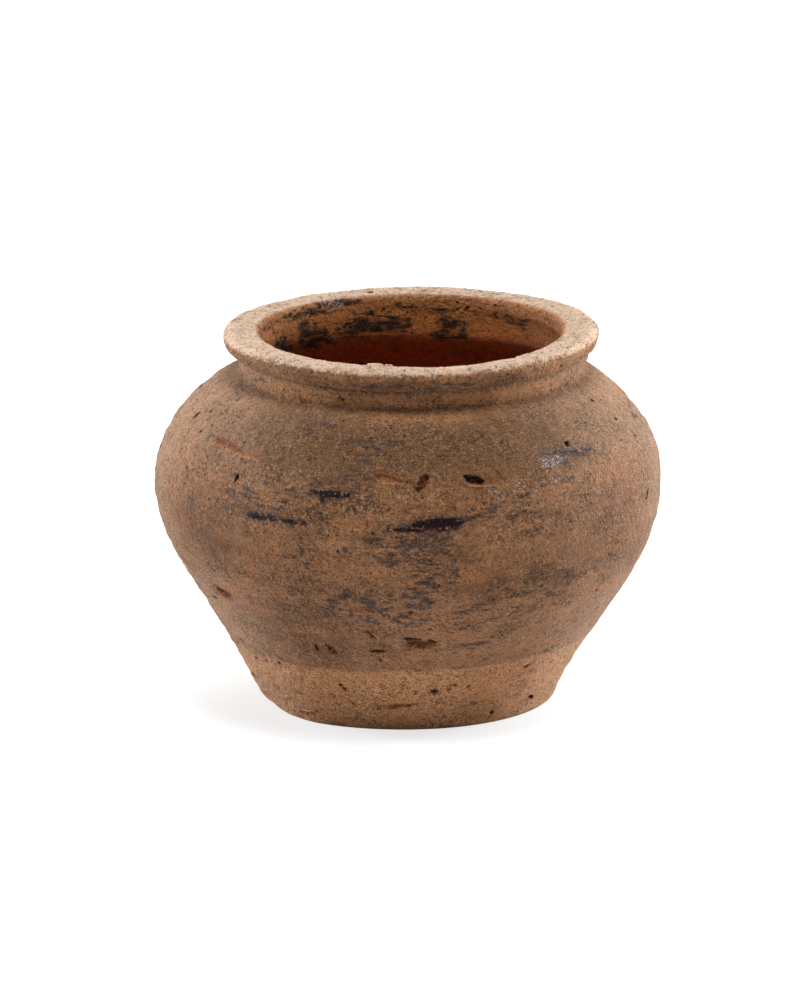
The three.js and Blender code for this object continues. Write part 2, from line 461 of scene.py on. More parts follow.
class Placed(NamedTuple):
    """A mark as a line of places on the clay, in millimetres."""

    line: np.ndarray
    width: float
    amount: float
    raggedness: float = 1

    def nearness(self, skin, reach):
        """The points of a skin within a reach of the mark, and how far each lies from its line.

        Both are in half widths. A long mark gets narrower towards its ends.
        """
        low = self.line.min(axis=0) - reach * self.width
        high = self.line.max(axis=0) + reach * self.width
        near = skin.between(low, high)
        points = skin.points[near]
        nearest = np.full(len(near), np.inf)
        spans = max(1, len(self.line) - 1)
        ends = self.line[1:] if len(self.line) > 1 else self.line
        for index, (start, end) in enumerate(zip(self.line, ends)):
            way = end - start
            share = np.clip((points - start) @ way / max(way @ way, TINY), 0, 1)
            offset = np.linalg.norm(points - start - share[:, None] * way, axis=1)
            middle = 2 * (index + share) / spans - 1
            taper = 1 - TAPER * middle**2 if len(self.line) > 1 else 1
            nearest = np.minimum(nearest, offset / (self.width * taper))
        return near, nearest * (1 + self.raggedness * (skin.ragged[near] - 1))


def on_clay(rows, raggedness=1):
    """Marks of the photograph as lines on the clay."""
    found = []
    for width, amount, *pixels in rows:
        if len(pixels) > 1:
            pixels = even(pixels, PIXEL_STEP)
        line = np.array([clay_at(pixel) for pixel in pixels])
        found.append(Placed(line, width, amount, raggedness))
    return found


def behind(seed, count, lengths, widths, amounts):
    """Marks of one kind, strewn over the side of the pot that the photograph doesn't show.

    Lengths, half widths and amounts are ranges that each mark is drawn from.
    """
    rng = np.random.default_rng(seed)
    found = []
    for _ in range(count):
        angle = math.radians(rng.uniform(*BACK_ANGLES))
        height = rng.uniform(*BACK_HEIGHTS)
        half = rng.uniform(*lengths) / 2
        slant = rng.uniform(-BACK_SLANT, BACK_SLANT)
        line = []
        for along in (-half, 0, half):
            up = height + along * slant
            radius = radius_at(OUTSIDE, up)
            turn = angle + along / radius
            line.append((radius * math.sin(turn), -radius * math.cos(turn), up))
        found.append(Placed(np.array(line), rng.uniform(*widths), rng.uniform(*amounts)))
    return found


def crumbled(seed, count, widths, depths):
    """Small holes where crumbs of clay fell off the rolled rim."""
    rng = np.random.default_rng(seed)
    outline = roll_line(1)
    found = []
    for _ in range(count):
        radius, height = outline[rng.integers(len(outline))]
        turn = rng.uniform(0, math.tau)
        place = np.array([[radius * math.sin(turn), -radius * math.cos(turn), height]])
        found.append(Placed(place, rng.uniform(*widths), rng.uniform(*depths)))
    return found


@functools.cache
def clay_marks():
    """Every mark on the pot by kind: the ones that the photograph shows and the ones behind."""
    return {
        "pits": on_clay(PITS, PIT_RAGGEDNESS) + behind(1, 34, (0, 3), (0.6, 1.2), (0.7, 1.8)),
        "scars": on_clay(SCARS) + behind(2, 14, (2, 9), (0.7, 1.9), (0.4, 1.6)),
        "crumbs": crumbled(8, 320, (0.4, 1.4), (0.25, 0.8)),
        "ridges": on_clay(RIDGES) + behind(3, 6, (12, 30), (0.8, 1.4), (0.3, 0.45)),
        "glaze": on_clay(GLAZE_REMAINS) + behind(4, 60, (0, 18), (0.7, 2.2), (0.4, 1.05)),
        "stain": on_clay(STAINS),
        "soot": on_clay(SMEARS) + behind(5, 12, (15, 55), (3, 10), (0.2, 0.42)),
        "rub": on_clay(SCUFFS) + behind(6, 8, (4, 16), (0.9, 1.8), (0.5, 0.9)),
        "glint": on_clay(PAINTED_GLINTS) + behind(7, 9, (0, 5), (0.9, 1.8), (0.18, 0.24)),
    }


# Noises of the clay, as the size of their lumps and a seed.
NOISES = {
    "wobble": (60, 3), "small_wobble": (28, 7), "ring_drift": (40, 11), "ring_fade": (35, 17),
    "lump": (11, 23), "small_lump": (4.5, 29), "sand": (2.1, 31), "rim_sand": (1.2, 37),
    "foot_line": (14, 41), "foot_edge": (5, 43), "seam": (18, 47), "seam_gaps": (38, 53),
    "mark": (4, 61), "small_mark": (1.5, 67), "fine_mark": (0.7, 73), "torn": (1.4, 71),
    "rim_wear": (2.6, 83), "fine_rim_wear": (1.1, 89), "soil": (16, 97),
}
# Zones of the pot, as what is measured, where the zone begins and where it is full.
ZONES = {
    "off_ground": ("height", 0, 6), "floor": ("height", 1, 4), "floor_edge": ("radius", 56, 54),
    "soil": ("height", 60, 15), "bounce_light": ("height", 141, 133), "throat": ("radius", 63.6, 61.6),
    "lip": ("height", 144, 150), "rim": ("height", 138, 147), "rim_sides": ("aside", 35, 85),
    "neck_sides": ("aside", 10, 32), "neck_edges": ("aside", 38, 72),
    "rough_left": ("angle", -25, -75), "film_shade_front": ("aside", 75, 40),
    "film_shade_foot": ("height", 104, 118), "film_shade_top": ("height", 136.5, 132.5),
    "belly_shade_foot": ("height", 60, 80), "belly_shade_top": ("height", 112, 98), "belly_shade_front": ("aside", 25, 50),
    "belly_shade_edge": ("aside", 78, 55), "low_dust_sheen": ("height", 75, 50), "high_dust_sheen": ("height", 100, 120),
    "dust_sheen_sides": ("aside", 30, 65), "dust_sheen_edges": ("aside", 58, 80),
}


class Skin:
    """The clean surface of a turned section: each point's place, height, angle and normal.

    Angles are degrees round the pot, from the side that faces the camera, growing to the right.
    How far a point lies aside is its angle to either hand.
    """

    def __init__(self, points):
        self.points = points
        self.height = points[:, 2]
        self.radius = np.hypot(points[:, 0], points[:, 1])
        self.angle = np.degrees(np.arctan2(points[:, 0], -points[:, 1]))
        self.aside = np.abs(self.angle)
        tree, normals, faces = whole_outline()
        nearest = [tree.find((r, z, 0))[1] for r, z in zip(self.radius, self.height)]
        outward = normals[nearest]
        radial = points[:, :2] / self.radius[:, None]
        self.normal = np.column_stack([radial * outward[:, :1], outward[:, 1]])
        self.face = faces[nearest]
        self.order = np.argsort(self.height)
        self.ragged = 1 + 0.25 * self.lumps("mark") + 0.38 * self.lumps("small_mark")
        self.ragged += 0.2 * self.lumps("fine_mark")

    def between(self, low, high):
        """Indices of the points inside a box."""
        ends = np.searchsorted(self.height, (low[2], high[2]), sorter=self.order)
        level = self.order[ends[0] : ends[1]]
        across = self.points[level, :2]
        inside = (across > low[:2]) & (across < high[:2])
        return level[inside.all(axis=1)]

    def on(self, *faces):
        """1 for points on one of these faces of the pot, and 0 elsewhere."""
        return np.isin(self.face, faces).astype(float)

    def zone(self, *names):
        """How far each point lies within all of some zones, from 0 to 1."""
        share = np.ones(len(self.points))
        for name in names:
            measure, begin, full = ZONES[name]
            share *= smooth(begin, full, getattr(self, measure))
        return share

    def lumps(self, name):
        """Smooth noise from about -1 to 1."""
        size, seed = NOISES[name]
        places = (self.points / size + seed).tolist()
        return np.fromiter(map(noise.noise, places), float, len(places))


@functools.cache
def whole_outline():
    """The outline of the whole pot at a fine step, with each point's outward normal and face."""
    fine = 0.3
    faces = {
        "slab": slab_line(fine, fine),
        "outside": wall_line(OUTSIDE, FOOT_SEAM.outer, RIM_SEAM.outer, fine),
        "roll": roll_line(fine),
        "inside": wall_line(INSIDE, FLOOR_HEIGHT, RIM_SEAM.inner, fine)[::-1],
    }
    line = np.concatenate(list(faces.values()))
    names = np.repeat(list(faces), [len(points) for points in faces.values()])
    along = np.gradient(line, axis=0)
    outward = np.stack([along[:, 1], -along[:, 0]], axis=1)
    outward /= np.maximum(np.linalg.norm(outward, axis=1), TINY)[:, None]
    tree = kdtree.KDTree(len(line))
    for index, (radius, height) in enumerate(line):
        tree.insert((radius, height, 0), index)
    tree.balance()
    return tree, outward, names


def smooth(low, high, values):
    """0 at low, 1 at high and an even S between them."""
    t = np.clip((values - low) / (high - low), 0, 1)
    return t * t * (3 - 2 * t)


def around(middle, spread, values):
    """1 at a middle, and less on both sides of it."""
    return np.exp(-(((values - middle) / spread) ** 2))


def throw(name, outline, steps):
    """Draws a closed outline point by point and turns it about the pot's axis into a ring."""
    bpy.ops.object.select_all(action="DESELECT")
    bpy.ops.mesh.primitive_plane_add(size=MM)
    piece = bpy.context.object
    piece.name = name
    piece.data.name = name
    bpy.ops.object.mode_set(mode="EDIT")
    bpy.ops.mesh.merge(type="CENTER")
    radius, height = outline[0] * MM
    bpy.ops.transform.translate(value=(radius, 0, height))
    for across, up in np.diff(np.concatenate([outline, outline[:1]]), axis=0) * MM:
        bpy.ops.mesh.extrude_vertices_move(TRANSFORM_OT_translate={"value": (across, 0, up)})
    bpy.ops.mesh.select_all(action="SELECT")
    doublings = 4
    weld = 0.01 * MM
    turn = math.tau / 2**doublings
    bpy.ops.mesh.spin(steps=steps // 2**doublings, angle=turn, center=(0, 0, 0), axis=(0, 0, 1))
    for _ in range(doublings):
        bpy.ops.mesh.select_all(action="SELECT")
        bpy.ops.mesh.duplicate()
        bpy.ops.transform.rotate(value=turn, orient_axis="Z", center_override=(0, 0, 0))
        turn *= 2
    bpy.ops.mesh.select_all(action="SELECT")
    bpy.ops.mesh.remove_doubles(threshold=weld)
    bpy.ops.mesh.normals_make_consistent(inside=False)
    bpy.ops.object.mode_set(mode="OBJECT")
    return piece


# How far past its reach a mark is looked for, because ragged edges swing outwards.
EDGE_SWING = 1.2


def refine(piece, marks, reach, cuts):
    """Subdivides the faces within a reach of some marks, given in half widths."""
    mesh = piece.data
    flat = np.empty(len(mesh.polygons) * 3, np.float32)
    mesh.polygons.foreach_get("center", flat)
    centres = flat.reshape(-1, 3).astype(float) / MM
    skin = Skin(centres)
    chosen = np.zeros(len(centres), bool)
    for mark in marks:
        near, away = mark.nearness(skin, EDGE_SWING * reach)
        chosen[near] |= away < reach
    if not chosen.any():
        return
    mesh.vertices.foreach_set("select", np.zeros(len(mesh.vertices), bool))
    mesh.edges.foreach_set("select", np.zeros(len(mesh.edges), bool))
    mesh.polygons.foreach_set("select", chosen)
    bpy.ops.object.mode_set(mode="EDIT")
    bpy.ops.mesh.select_mode(type="FACE")
    bpy.ops.mesh.subdivide(number_cuts=cuts)
    bpy.ops.mesh.select_mode(type="VERT")
    bpy.ops.object.mode_set(mode="OBJECT")


# Heights of the shoulder seam round the pot, as pairs of an angle in degrees and a height.
SEAM_COURSE = (
    (-180, 113), (-110, 115), (-70, 117.5), (-25, 114.5), (5, 110.5),
    (30, 110), (60, 111.5), (110, 112.5), (180, 113),
)
# How far the pot leans to the right, as pairs of a height and a shift.
LEAN_COURSE = (
    (0, -0.6), (12, -0.5), (28, 0.2), (45, 0.8), (62, 0.5), (89, -0.5), (104, 0.1),
    (118, 0), (133, 0.8), (137, 1.1), (141, 2.4), (144, 1.9), (147, 1.0), (153, 1.1),
)
# How much wider the fired clay is than a true curve, as pairs of a height and a growth.
GIRTH_COURSE = (
    (0, 0.9), (15, 1.0), (30, 0.4), (42, 0.4), (65, 0.6), (86, 0.1), (104, 0.4), (118, 0),
    (127, -0.3), (133, -1.1), (136, -2.0), (138.5, -1.2), (141, -0.5), (144, -0.9), (145.4, 0),
    (153, 0),
)
# How far the worn bottom edge stands out or in round the pot, as pairs of an angle and a growth.
BASE_COURSE = (
    (-180, 0), (-115, 0), (-90, -0.7), (-68, -2.4), (-52, 0), (-38, 1.0), (-22, -0.2),
    (-8, -1.0), (8, -1.3), (30, -1.2), (60, -0.7), (90, -0.2), (120, 0), (180, 0),
)
BASE_WEAR_HEIGHT = 9
RIM_TILT = 0.7
FRONT_SAG = 1.25
BACK_SAG = 0.75
# Heights between which tilt and sag grow, and shares of the radius between which the wall begins.
RIM_SETTLING = (122, 148)
OUTER_WALL = (0.87, 0.92)

RING_PITCH = 7.5
# The foot line's tilt, the angle it is turned by, how far it wanders and the depth of its step.
FOOT_TILT = 3
FOOT_TURN = 15
FOOT_DRIFT = 0.7
FOOT_STEP = 0.3
FOOT_STEP_EDGE = (-0.4, 1.4)
# How far the shoulder seam wanders, the noise that wipes it out in places, the rise and the fade of
# its step above the seam, and the middle and the spread of the bead below it.
SEAM_DRIFT = 1.2
SEAM_KEPT = (-0.35, 0.3)
SEAM_STEP = (0, 0.9)
SEAM_FADE = (2, 16)
SEAM_BEAD = (-0.9, 1.1)
# Where the floor of a hole ends and where its wall is up, in half widths.
HOLES = {"pits": (0.55, 1.1), "scars": (0.15, 1.15), "crumbs": (0.2, 1.2)}
# How far from its line a mark is felt, in half widths.
HOLE_REACH = 2.5
RIDGE_REACH = 4
COAT_REACH = 3


def foot_line(skin):
    """Height of the line where the scraped foot meets the wall. It sinks to the left."""
    tilt = FOOT_TILT * np.sin(np.radians(skin.angle + FOOT_TURN))
    return WALL_SEAM.outer + tilt + FOOT_DRIFT * skin.lumps("foot_line")


def relief(skin, form):
    """How far hands, tools and wear moved each point of the clay outwards, in millimetres."""
    stands = skin.zone("off_ground")
    rim = skin.zone("rim")
    left = skin.zone("rough_left") * (1 - rim)
    wobble = skin.lumps("wobble") + 0.5 * skin.lumps("small_wobble")
    rounds = skin.height / RING_PITCH + 0.3 * skin.lumps("ring_drift")
    rings = np.sin(math.tau * rounds) * (0.5 + 0.9 * skin.lumps("ring_fade")) * (1 - rim)
    lumps = (skin.lumps("lump") + 0.6 * skin.lumps("small_lump")) * (1 - 0.4 * rim)
    sand = skin.lumps("sand") * (1 + 0.2 * rim + 2.6 * left)
    sand += 1.6 * rim * skin.lumps("rim_sand")
    out = form.wobble * wobble + form.rings * rings + form.lumps * lumps + form.sand * sand
    out *= stands / MM

    seam = skin.height - np.interp(skin.angle, *zip(*SEAM_COURSE)) - SEAM_DRIFT * skin.lumps("seam")
    kept = smooth(*SEAM_KEPT, skin.lumps("seam_gaps")) * skin.on("outside")
    step = smooth(*SEAM_STEP, seam) * (1 - smooth(*SEAM_FADE, seam))
    bead = 0.7 * around(*SEAM_BEAD, seam)
    out += form.seam / MM * kept * (bead - step)

    below = foot_line(skin) - skin.height
    out -= FOOT_STEP * smooth(*FOOT_STEP_EDGE, below) * stands * skin.on("slab", "outside")

    torn = 1 + 0.5 * skin.lumps("torn")
    for kind, wall in HOLES.items():
        for mark in clay_marks()[kind]:
            near, away = mark.nearness(skin, HOLE_REACH)
            out[near] -= mark.amount * torn[near] * (1 - smooth(*wall, away))
    for mark in clay_marks()["ridges"]:
        near, away = mark.nearness(skin, RIDGE_REACH)
        out[near] += mark.amount * around(0, 1, away)
    return out


def whole_wall():
    """Heights and radii of the outside from the ground to the crown."""
    fine = 150
    heights = np.linspace(0, RIM_SEAM.outer, fine)
    wall = [radius_at(OUTSIDE, height) for height in heights]
    return [*heights, CROWN], [*wall, RIM_RADIUS]


def settled(points):
    """Clay as it settled in the fire: grown or shrunk in places, leaning, and with a rim that
    stands a little higher on the right and sags at the front and the back."""
    moved = points.copy()
    radius = np.hypot(points[:, 0], points[:, 1])
    wall = np.interp(points[:, 2], *whole_wall())
    outer = smooth(*OUTER_WALL, radius / wall)
    angle = np.degrees(np.arctan2(points[:, 0], -points[:, 1]))
    growth = np.interp(points[:, 2], *zip(*GIRTH_COURSE))
    growth += np.interp(angle, *zip(*BASE_COURSE)) * smooth(BASE_WEAR_HEIGHT, 0, points[:, 2])
    growth *= outer
    moved[:, :2] *= (1 + growth / radius)[:, None]
    moved[:, 0] += np.interp(points[:, 2], *zip(*LEAN_COURSE))
    forward = -points[:, 1] / radius
    sag = np.where(forward > 0, FRONT_SAG * forward**2, BACK_SAG * forward**4)
    rise = RIM_TILT * points[:, 0] / RIM_RADIUS - sag
    moved[:, 2] += rise * smooth(*RIM_SETTLING, points[:, 2])
    return moved


# Bands of painted light round the neck and of painted shade in the crease under the rim, as the
# height of their middle and their spread.
COLLAR_LIGHT = (139.5, 4.6)
LEDGE_LIGHT = (133.6, 2.2)
CREASE_SHADE = (RIM_SEAM.outer - 0.8, 1.2)
# How far the line of the foot blurs, in millimetres, and how the rim is worn pale where it faces up,
# with painted sheen on its top and painted light lower down its face on the sides: on the front and
# on the sides, as the upward share of its normal where the pale begins and is full.
FOOT_BLUR = (-1.3, 1.3)
FRONT_PALE_RIM = (0.55, 0.9)
SIDE_PALE_RIM = (-0.15, 0.8)
# The edge of a hole's shadow and of a coat, in half widths.
SHADOW_EDGE = (0.8, 1.05)
COAT_EDGE = (0.1, 2)
# A hole this deep gets a black painted shadow at its bottom, and that shadow is raised by this share
# of its half width.
BLACK_DEPTH = 1.2
SHADOW_RISE = 0.25
# The painted shadows in the bottoms of holes, as their strength, their width as a share of the
# hole's, and what is added to that width.
SHADOWS = {"pits": (0.93, 0.75, 0.4), "scars": (0.65, 0.8, 0), "crumbs": (0.5, 0.9, 0)}


def coats(skin):
    """How much of each coat, each kind of wear and each painted light and shade lies on each point.
    At 1 and above it is whole.
    """
    outer = skin.on("slab", "outside")
    within = np.maximum(skin.on("inside"), skin.on("slab") * skin.zone("floor", "floor_edge"))
    throat = skin.zone("throat")
    inner_lip = throat * skin.on("roll") * (1 - 0.5 * skin.zone("lip"))
    below = foot_line(skin) - skin.height + 0.8 * skin.lumps("foot_edge")

    # The rim is worn pale where it faces up, with painted sheen on its top and painted light lower on
    # its face at the sides.
    upward = skin.normal[:, 2] + 0.2 * skin.lumps("rim_wear") + 0.14 * skin.lumps("fine_rim_wear")
    sides = skin.zone("rim_sides")
    begin, full = (front + (side - front) * sides for front, side in zip(FRONT_PALE_RIM, SIDE_PALE_RIM))
    worn_and_lit = smooth(begin, full, upward)

    # Painted light on the neck: a band round it, stronger on its sides and weaker at its edges, and a
    # light ledge at the front.
    beside = skin.zone("neck_sides")
    neck_light_strength = 0.5 + 0.5 * beside - 0.75 * skin.zone("neck_edges")
    collar_light = around(*COLLAR_LIGHT, skin.height) * neck_light_strength
    ledge_light = 0.6 * around(*LEDGE_LIGHT, skin.height) * (1 - beside)

    # Painted shade in the crease under the rolled rim.
    crease_shade = 0.6 * around(*CREASE_SHADE, skin.height) * skin.on("outside", "roll")
    soil = 0.7 * within * skin.zone("soil") * (0.75 + 0.6 * skin.lumps("soil"))
    # Painted shade on the sides of the belly, between the front and the edges.
    belly_shade = 0.38 * outer * skin.zone("belly_shade_foot", "belly_shade_top", "belly_shade_front", "belly_shade_edge")
    # Pale dust and painted sheen on the sides of the pot, strongest at its edges.
    high_dust_sheen = 0.32 * skin.zone("high_dust_sheen", "dust_sheen_sides")
    low_dust_sheen = 0.4 * skin.zone("low_dust_sheen", "dust_sheen_sides")
    side_dust_sheen = 0.4 * skin.zone("dust_sheen_edges")
    shares = {
        "bare_foot": smooth(*FOOT_BLUR, below) * outer,
        "worn_rim": worn_and_lit * skin.on("roll") * (1 - throat),
        # Painted shade under the rim and on the belly, and soil stains low inside.
        "grime": np.maximum.reduce([crease_shade, soil, belly_shade]),
        # An olive film with painted shade on the front of the shoulder.
        "film": 0.85 * outer * skin.zone("film_shade_foot", "film_shade_top", "film_shade_front"),
        "dust": np.maximum.reduce([high_dust_sheen, low_dust_sheen, side_dust_sheen]) * outer,
        "rubbed_neck": np.maximum(collar_light, ledge_light) * outer,
        "inner_face": 0.85 * np.maximum(within, inner_lip),
        # Painted bounce light, brighter and redder, deep inside the wall.
        "damp_face": skin.zone("bounce_light") * within,
        "hollow": np.zeros(len(skin.points)),
    }
    # Painted shadows in the bottoms of pits, scars and crumbs.
    for kind, (strength, part, brim) in SHADOWS.items():
        for mark in clay_marks()[kind]:
            line = mark.line + (0, 0, SHADOW_RISE * mark.width)
            bottom = mark._replace(line=line, width=part * mark.width + brim)
            near, away = bottom.nearness(skin, HOLE_REACH)
            dark = strength * min(1, mark.amount / BLACK_DEPTH) * (1 - smooth(*SHADOW_EDGE, away))
            shares["hollow"][near] = np.maximum(shares["hollow"][near], dark)
    for kind in ("scars", "glaze", "stain", "soot", "rub", "glint"):
        share = np.zeros(len(skin.points))
        found = clay_marks()[kind]
        if kind == "scars":
            found = [mark._replace(amount=1) for mark in found + clay_marks()["pits"]]
        for mark in found:
            near, away = mark.nearness(skin, COAT_REACH)
            share[near] = np.maximum(share[near], mark.amount * (1 - smooth(*COAT_EDGE, away)))
        shares[kind] = share
    return shares


COATS = (
    "bare_foot", "worn_rim", "grime", "film", "dust", "rubbed_neck", "inner_face", "damp_face",
    "hollow", "scars", "glaze", "stain", "soot", "rub", "glint",
)


# Materials


def linear(colour):
    """Linear red, green and blue of an sRGB hex colour."""
    parts = [int(colour[i : i + 2], 16) / 255 for i in (1, 3, 5)]
    return tuple(p / 12.92 if p <= 0.04045 else ((p + 0.055) / 1.055) ** 2.4 for p in parts)


def add(tree, kind, inputs, out=0, **settings):
    """Adds a node with its settings, fills its inputs from values or other sockets, and gives one
    of its outputs, or all of them where that is None."""
    node = tree.nodes.new(kind)
    for name, value in settings.items():
        setattr(node, name, value)
    for key, value in inputs.items():
        if isinstance(value, bpy.types.NodeSocket):
            tree.links.new(value, node.inputs[key])
        else:
            node.inputs[key].default_value = value
    return node.outputs if out is None else node.outputs[out]


# Sockets of a colour mix: its two colours and its result.
UNDER = 6
OVER = 7
MIXED = 2
# Widths of the cells of pinholes and of sand grains.
PINHOLE_CELL = 3.4
SAND_CELL = 1.5
# How far apart the noises lie in their fourth dimension.
NOISE_STEP = 7.3
# How steeply pinholes deepen, and how steeply a coat gains strength from its edge.
PINHOLE_GAIN = 3
COAT_GAIN = 5


def terracotta():
    """Sand-tempered terracotta, weathered and rubbed, with worn remains of a dark glaze.

    It gives the eye a dry, speckled brown that turns orange on the foot, pale on the rim and
    dark red inside, with satin black glaze left in the hollows.
    """
    name = "weathered sand-tempered terracotta"
    if name in bpy.data.materials:
        return bpy.data.materials[name]
    finish = bpy.context.scene.pot_finish
    shade = {key: (*getattr(finish, key), 1) for key in PotFinish.__annotations__}
    material = bpy.data.materials.new(name)
    material.use_nodes = True
    material.node_tree.nodes.clear()
    put = functools.partial(add, material.node_tree)
    place = put("ShaderNodeTexCoord", {}, "Object")
    share = {coat: put("ShaderNodeAttribute", {}, "Fac", attribute_name=coat) for coat in COATS}
    level = {}

    # Noise by the size of its patches in millimetres: its detail, its roughness and how much
    # finer it is upright than across, as on a wall that was wiped round.
    for seed, (grain, size, detail, roughness, squash) in enumerate((
        ("broad", 48, 3, 0.55, 1.3),
        ("film", 22, 5, 0.62, 2),
        ("streak", 34, 6, 0.68, 7),
        ("mottle", 7, 5, 0.68, 1.5),
        ("crumb", 2.2, 4, 0.65, 1.2),
        ("grain", 0.6, 2, 0.6, 1),
        ("edge", 1.7, 3, 0.62, 1.4),
        ("wipe", 6, 5, 0.68, 3.5),
    )):
        wiped = put("ShaderNodeVectorMath", {0: place, 1: (1, 1, squash)}, operation="MULTIPLY")
        inputs = {"Vector": wiped, "W": seed * NOISE_STEP, "Scale": 1 / (size * MM)}
        inputs |= {"Detail": detail, "Roughness": roughness}
        level[grain] = put("ShaderNodeTexNoise", inputs, "Fac", noise_dimensions="4D")

    # Pinholes where sand fell out: the wide ones lie far apart.
    # They are bumped in and darkened with painted shade.
    holes = put("ShaderNodeTexVoronoi", {"Vector": place, "Scale": 1 / (PINHOLE_CELL * MM)}, None)
    inputs = {"Value": holes["Color"], "From Min": 0.35, "From Max": 0.95, "To Max": 0.2}
    wide = put("ShaderNodeMapRange", inputs)
    inputs = {"Value": holes["Distance"], "From Min": wide, "From Max": 0, "To Max": 0.9}
    deep = put("ShaderNodeMapRange", inputs)
    inputs = {0: deep, 1: PINHOLE_GAIN}
    share["pinhole"] = put("ShaderNodeMath", inputs, operation="MULTIPLY", use_clamp=True)

    # Sand in the clay: every grain has a cell of its own, and some are pale and some dark.
    sand = put("ShaderNodeTexVoronoi", {"Vector": place, "Scale": 1 / (SAND_CELL * MM)}, None)
    inputs = {"Value": sand["Distance"], "From Min": 0.42, "From Max": 0.22}
    grit = put("ShaderNodeMapRange", inputs)
    for mask, begin, full, most in (("pale_sand", 0.6, 0.95, 0.35), ("dark_sand", 0.45, 0.1, 0.7)):
        inputs = {"Value": sand["Color"], "From Min": begin, "From Max": full, "To Max": most}
        kind = put("ShaderNodeMapRange", inputs)
        share[mask] = put("ShaderNodeMath", {0: grit, 1: kind}, operation="MULTIPLY")

    inputs = {0: share["worn_rim"], 1: share["bare_foot"]}
    share["bare"] = put("ShaderNodeMath", inputs, operation="MAXIMUM")

    # The skin is rougher in some patches than in others.
    inputs = {"Value": level["film"], "From Min": 0.4, "From Max": 0.62, "To Min": 0.5, "To Max": 1}
    patchy = put("ShaderNodeMapRange", inputs)
    inputs = {"Value": share["worn_rim"], "To Min": patchy, "To Max": 0.6}
    rougher = put("ShaderNodeMapRange", inputs)

    # Masks from noise: the noise, where the mask starts, where it is full, and its strength on
    # the wall, on the bare clay of the rim and the foot, and inside.
    for mask, grain, begin, full, most, bare, inside in (
        ("dark_patch", "broad", 0.46, 0.64, 0.6, 0.5, 0.5),
        ("olive_patch", "film", 0.46, 0.68, 0.5, 0.45, 0.3),
        ("flecked", "film", 0.44, 0.7, 0.3, 0.1, 0.1),
        ("pale_streak", "streak", 0.53, 0.68, 0.4, 0.4, 0.2),
        ("dark_streak", "streak", 0.46, 0.32, 0.45, 0.45, 0.5),
        ("orange_mottle", "mottle", 0.5, 0.64, 0.45, 0.55, 0.4),
        ("dark_mottle", "mottle", 0.47, 0.33, 0.42, 0.65, 0.4),
        ("brown_crumb", "edge", 0.48, 0.38, 0.0, 0.5, 0.0),
        ("pale_crumb", "crumb", 0.53, 0.66, 0.16, 0.4, 0.06),
        ("dark_crumb", "crumb", 0.46, 0.35, 0.65, 0.7, 0.5),
        ("pale_grain", "grain", 0.52, 0.62, 0.24, 0.7, 0.08),
        ("dark_grain", "grain", 0.47, 0.38, 0.9, 0.75, 0.5),
    ):
        for part, value in (("bare", bare), ("inner_face", inside)):
            inputs = {"Value": share[part], "To Min": most, "To Max": value}
            most = put("ShaderNodeMapRange", inputs)
        if grain in ("crumb", "grain"):
            most = put("ShaderNodeMath", {0: rougher, 1: most}, operation="MULTIPLY")
        inputs = {"Value": level[grain], "From Min": begin, "From Max": full, "To Max": most}
        share[mask] = put("ShaderNodeMapRange", inputs, interpolation_type="SMOOTHSTEP")

    # Thick glaze is black, and it thins out to slate.
    inputs = {"Value": share["glaze"], "From Min": 1, "From Max": 0.7}
    thin = put("ShaderNodeMapRange", inputs, interpolation_type="SMOOTHSTEP")
    inputs = {0: thin, UNDER: shade["glaze"], OVER: shade["slate"]}
    shade["glaze"] = put("ShaderNodeMix", inputs, MIXED, data_type="RGBA")

    # Broken edges: a coat shows where its share, roughened by noise, passes half.
    for coat, grain, raggedness, soft in (
        ("glaze", "edge", 7.0, 0.06),
        ("flecked", "edge", 4.0, 0.2),
        ("stain", "wipe", 4.2, 0.4),
        ("soot", "wipe", 4.5, 0.3),
        ("scars", "edge", 3.0, 0.3),
        ("rub", "edge", 5.0, 0.5),
        ("glint", "grain", 5.0, 0.2),
    ):
        inputs = {0: share[coat], 1: COAT_GAIN}
        kept = put("ShaderNodeMath", inputs, operation="MULTIPLY", use_clamp=True)
        inputs = {0: level[grain], 1: raggedness, 2: share[coat]}
        swing = put("ShaderNodeMath", inputs, operation="MULTIPLY_ADD")
        middle = (1 + raggedness) / 2
        inputs = {"Value": swing, "From Min": middle - soft, "From Max": middle + soft}
        inputs["To Max"] = kept
        share[coat] = put("ShaderNodeMapRange", inputs, interpolation_type="SMOOTHSTEP")

    # Colours from the clay outwards, each with the mask that it shows through. Some are painted light
    # and shade: painted light on the neck and the rim, painted sheen on the sides, painted shade
    # under the rim, on the belly, on the front of the shoulder and in holes, painted bounce light
    # deep inside, and painted glints.
    colour = shade["clay"]
    for coat, mask in (
        ("dark_clay", "dark_patch"), ("olive", "olive_patch"), ("pale_clay", "pale_streak"),
        ("dark_clay", "dark_streak"), ("soot", "flecked"), ("orange", "orange_mottle"),
        ("foot", "bare_foot"), ("rim", "worn_rim"), ("olive", "film"), ("dust", "dust"),
        ("foot", "rubbed_neck"), ("inside", "inner_face"), ("bounce_light", "damp_face"),
        ("dark_clay", "grime"), ("orange", "rub"), ("stain", "stain"), ("dark_clay", "dark_mottle"),
        ("soot", "soot"), ("scar", "scars"), ("pale_grain", "pale_crumb"), ("orange", "brown_crumb"),
        ("dark_clay", "dark_crumb"), ("pale_grain", "pale_grain"), ("dark_grain", "dark_grain"),
        ("pale_grain", "pale_sand"), ("dark_grain", "dark_sand"), ("hollow", "pinhole"),
        ("glaze", "glaze"), ("hollow", "hollow"), ("glint", "glint"),
    ):
        inputs = {0: share[mask], UNDER: colour, OVER: shade[coat]}
        colour = put("ShaderNodeMix", inputs, MIXED, data_type="RGBA")

